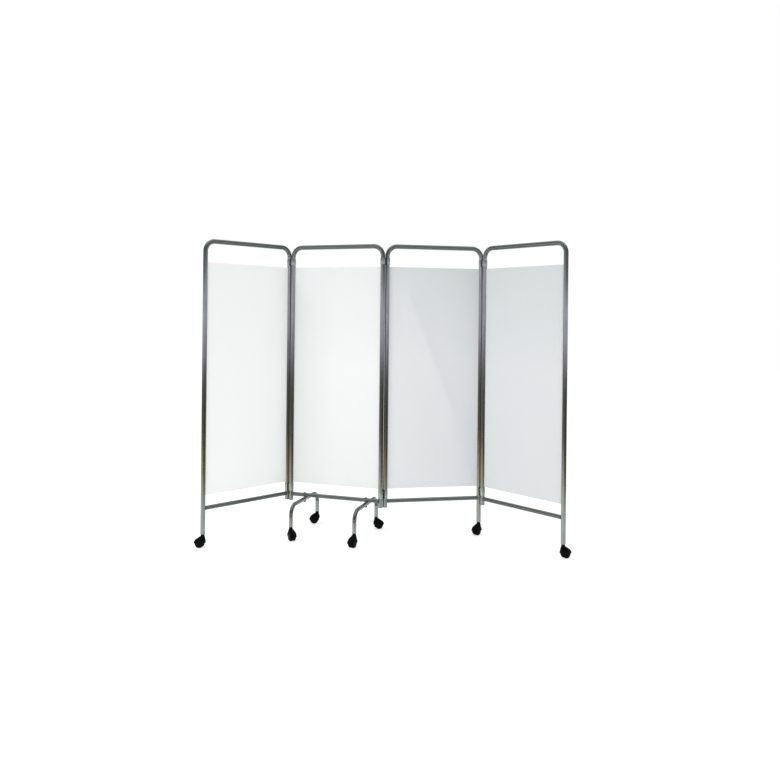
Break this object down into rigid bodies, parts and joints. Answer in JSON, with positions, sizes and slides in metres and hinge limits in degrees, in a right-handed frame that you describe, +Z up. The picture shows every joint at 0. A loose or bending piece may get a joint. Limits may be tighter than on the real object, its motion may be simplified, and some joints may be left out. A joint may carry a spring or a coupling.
{
  "type": "ward privacy screen",
  "caption": "Folding ward privacy screen of chromed tube frames with white sheets, joined in a zig-zag by hinge clips, on castors, with bow feet under an inner panel.",
  "frame": {"origin": "on the floor under the middle of the whole screen, in the pose of the picture", "axes": "+X to the right along the row of panels, +Y away from the viewer, +Z up"},
  "size_m": [1.9824, 0.6642, 1.645],
  "materials": {
    "tube_chrome": "bright chromed steel tube with soft reflections",
    "sheet_cloth": "white coated woven sheet, matt, lightly creased",
    "clip_steel": "satin grey-green steel clip",
    "castor_plastic": "black moulded plastic, satin",
    "plug_plastic": "dark grey moulded plastic",
    "zinc_steel": "zinc-plated steel"
  },
  "bodies": {
    "panel_2": {"frame_2": "tube_chrome", "sheet_2": "sheet_cloth", "end_plug_2_left": "plug_plastic", "end_plug_2_right": "plug_plastic", "bow_left": "tube_chrome", "bow_left_bolt": "zinc_steel", "bow_left_nut": "zinc_steel", "bow_right": "tube_chrome", "bow_right_bolt": "zinc_steel", "bow_right_nut": "zinc_steel", "castor_bow_left_front_stem": "zinc_steel", "castor_bow_left_rear_stem": "zinc_steel", "castor_bow_right_front_stem": "zinc_steel", "castor_bow_right_rear_stem": "zinc_steel"},
    "link_12": {"hinge_clip_1_2_upper": "clip_steel", "hinge_clip_1_2_lower": "clip_steel"},
    "panel_1": {"frame_1": "tube_chrome", "sheet_1": "sheet_cloth", "end_plug_1_right": "plug_plastic", "castor_outer_left_stem": "zinc_steel"},
    "link_23": {"hinge_clip_2_3_upper": "clip_steel", "hinge_clip_2_3_lower": "clip_steel"},
    "panel_3": {"frame_3": "tube_chrome", "sheet_3": "sheet_cloth", "end_plug_3_left": "plug_plastic", "castor_middle_stem": "zinc_steel"},
    "link_34": {"hinge_clip_3_4_upper": "clip_steel", "hinge_clip_3_4_lower": "clip_steel"},
    "panel_4": {"frame_4": "tube_chrome", "sheet_4": "sheet_cloth", "end_plug_4_left": "plug_plastic", "castor_outer_right_stem": "zinc_steel"},
    "castor_outer_left": {"castor_outer_left_housing": "castor_plastic", "castor_outer_left_axle": "zinc_steel"},
    "wheel_outer_left_left": {"castor_outer_left_wheel_left": "castor_plastic"},
    "wheel_outer_left_right": {"castor_outer_left_wheel_right": "castor_plastic"},
    "castor_bow_left_front": {"castor_bow_left_front_housing": "castor_plastic", "castor_bow_left_front_axle": "zinc_steel"},
    "wheel_bow_left_front_left": {"castor_bow_left_front_wheel_left": "castor_plastic"},
    "wheel_bow_left_front_right": {"castor_bow_left_front_wheel_right": "castor_plastic"},
    "castor_bow_left_rear": {"castor_bow_left_rear_housing": "castor_plastic", "castor_bow_left_rear_axle": "zinc_steel"},
    "wheel_bow_left_rear_left": {"castor_bow_left_rear_wheel_left": "castor_plastic"},
    "wheel_bow_left_rear_right": {"castor_bow_left_rear_wheel_right": "castor_plastic"},
    "castor_bow_right_front": {"castor_bow_right_front_housing": "castor_plastic", "castor_bow_right_front_axle": "zinc_steel"},
    "wheel_bow_right_front_left": {"castor_bow_right_front_wheel_left": "castor_plastic"},
    "wheel_bow_right_front_right": {"castor_bow_right_front_wheel_right": "castor_plastic"},
    "castor_bow_right_rear": {"castor_bow_right_rear_housing": "castor_plastic", "castor_bow_right_rear_axle": "zinc_steel"},
    "wheel_bow_right_rear_left": {"castor_bow_right_rear_wheel_left": "castor_plastic"},
    "wheel_bow_right_rear_right": {"castor_bow_right_rear_wheel_right": "castor_plastic"},
    "castor_middle": {"castor_middle_housing": "castor_plastic", "castor_middle_axle": "zinc_steel"},
    "wheel_middle_left": {"castor_middle_wheel_left": "castor_plastic"},
    "wheel_middle_right": {"castor_middle_wheel_right": "castor_plastic"},
    "castor_outer_right": {"castor_outer_right_housing": "castor_plastic", "castor_outer_right_axle": "zinc_steel"},
    "wheel_outer_right_left": {"castor_outer_right_wheel_left": "castor_plastic"},
    "wheel_outer_right_right": {"castor_outer_right_wheel_right": "castor_plastic"}
  },
  "joints": [
    {"name": "fold_12_a", "type": "hinge", "parent": "panel_2", "child": "link_12", "pos_m": [-0.52274, 0.16201, 0.88], "axis": [0, 0, 1], "range_deg": [-76.6, 99.4]},
    {"name": "fold_12_b", "type": "hinge", "parent": "link_12", "child": "panel_1", "pos_m": [-0.54722, 0.17558, 0.88], "axis": [0, 0, 1], "range_deg": [-160.2, 15.8]},
    {"name": "fold_23_a", "type": "hinge", "parent": "panel_2", "child": "link_23", "pos_m": [-0.00325, -0.00278, 0.88], "axis": [0, 0, 1], "range_deg": [-130.6, 45.4]},
    {"name": "fold_23_b", "type": "hinge", "parent": "link_23", "child": "panel_3", "pos_m": [0.02213, 0.00905, 0.88], "axis": [0, 0, 1], "range_deg": [-73.6, 102.4]},
    {"name": "fold_34_a", "type": "hinge", "parent": "panel_3", "child": "link_34", "pos_m": [0.55783, 0.10931, 0.88], "axis": [0, 0, -1], "range_deg": [-148.6, 27.4]},
    {"name": "fold_34_b", "type": "hinge", "parent": "link_34", "child": "panel_4", "pos_m": [0.57583, 0.08786, 0.88], "axis": [0, 0, -1], "range_deg": [-85.3, 90.7]},
    {"name": "swivel_outer_left", "type": "hinge", "parent": "panel_1", "child": "castor_outer_left", "pos_m": [-0.94451, -0.19749, 0.06], "axis": [0, 0, 1], "continuous": true},
    {"name": "wheel_outer_left_left", "type": "hinge", "parent": "castor_outer_left", "child": "wheel_outer_left_left", "pos_m": [-0.96093, -0.19309, 0.024], "axis": [-0.2588, -0.9659, 0], "continuous": true},
    {"name": "wheel_outer_left_right", "type": "hinge", "parent": "castor_outer_left", "child": "wheel_outer_left_right", "pos_m": [-0.96093, -0.19309, 0.024], "axis": [-0.2588, -0.9659, 0], "continuous": true},
    {"name": "swivel_bow_left_front", "type": "hinge", "parent": "panel_2", "child": "castor_bow_left_front", "pos_m": [-0.4967, -0.04033, 0.06], "axis": [0, 0, 1], "continuous": true},
    {"name": "wheel_bow_left_front_left", "type": "hinge", "parent": "castor_bow_left_front", "child": "wheel_bow_left_front_left", "pos_m": [-0.4882, -0.05505, 0.024], "axis": [0.866, 0.5, 0], "continuous": true},
    {"name": "wheel_bow_left_front_right", "type": "hinge", "parent": "castor_bow_left_front", "child": "wheel_bow_left_front_right", "pos_m": [-0.4882, -0.05505, 0.024], "axis": [0.866, 0.5, 0], "continuous": true},
    {"name": "swivel_bow_left_rear", "type": "hinge", "parent": "panel_2", "child": "castor_bow_left_rear", "pos_m": [-0.38482, 0.31235, 0.06], "axis": [0, 0, 1], "continuous": true},
    {"name": "wheel_bow_left_rear_left", "type": "hinge", "parent": "castor_bow_left_rear", "child": "wheel_bow_left_rear_left", "pos_m": [-0.40182, 0.31235, 0.024], "axis": [0, -1, 0], "continuous": true},
    {"name": "wheel_bow_left_rear_right", "type": "hinge", "parent": "castor_bow_left_rear", "child": "wheel_bow_left_rear_right", "pos_m": [-0.40182, 0.31235, 0.024], "axis": [0, -1, 0], "continuous": true},
    {"name": "swivel_bow_right_front", "type": "hinge", "parent": "panel_2", "child": "castor_bow_right_front", "pos_m": [-0.14116, -0.15312, 0.06], "axis": [0, 0, 1], "continuous": true},
    {"name": "wheel_bow_right_front_left", "type": "hinge", "parent": "castor_bow_right_front", "child": "wheel_bow_right_front_left", "pos_m": [-0.14966, -0.16784, 0.024], "axis": [0.866, -0.5, 0], "continuous": true},
    {"name": "wheel_bow_right_front_right", "type": "hinge", "parent": "castor_bow_right_front", "child": "wheel_bow_right_front_right", "pos_m": [-0.14966, -0.16784, 0.024], "axis": [0.866, -0.5, 0], "continuous": true},
    {"name": "swivel_bow_right_rear", "type": "hinge", "parent": "panel_2", "child": "castor_bow_right_rear", "pos_m": [-0.02928, 0.19956, 0.06], "axis": [0, 0, 1], "continuous": true},
    {"name": "wheel_bow_right_rear_left", "type": "hinge", "parent": "castor_bow_right_rear", "child": "wheel_bow_right_rear_left", "pos_m": [-0.01456, 0.20806, 0.024], "axis": [-0.5, 0.866, 0], "continuous": true},
    {"name": "wheel_bow_right_rear_right", "type": "hinge", "parent": "castor_bow_right_rear", "child": "wheel_bow_right_rear_right", "pos_m": [-0.01456, 0.20806, 0.024], "axis": [-0.5, 0.866, 0], "continuous": true},
    {"name": "swivel_middle", "type": "hinge", "parent": "panel_3", "child": "castor_middle", "pos_m": [0.55783, 0.10931, 0.06], "axis": [0, 0, 1], "continuous": true},
    {"name": "wheel_middle_left", "type": "hinge", "parent": "castor_middle", "child": "wheel_middle_left", "pos_m": [0.54581, 0.09728, 0.024], "axis": [0.7071, -0.7071, 0], "continuous": true},
    {"name": "wheel_middle_right", "type": "hinge", "parent": "castor_middle", "child": "wheel_middle_right", "pos_m": [0.54581, 0.09728, 0.024], "axis": [0.7071, -0.7071, 0], "continuous": true},
    {"name": "swivel_outer_right", "type": "hinge", "parent": "panel_4", "child": "castor_outer_right", "pos_m": [0.94542, -0.31267, 0.06], "axis": [0, 0, 1], "continuous": true},
    {"name": "wheel_outer_right_left", "type": "hinge", "parent": "castor_outer_right", "child": "wheel_outer_right_left", "pos_m": [0.96015, -0.30417, 0.024], "axis": [-0.5, 0.866, 0], "continuous": true},
    {"name": "wheel_outer_right_right", "type": "hinge", "parent": "castor_outer_right", "child": "wheel_outer_right_right", "pos_m": [0.96015, -0.30417, 0.024], "axis": [-0.5, 0.866, 0], "continuous": true}
  ]
}
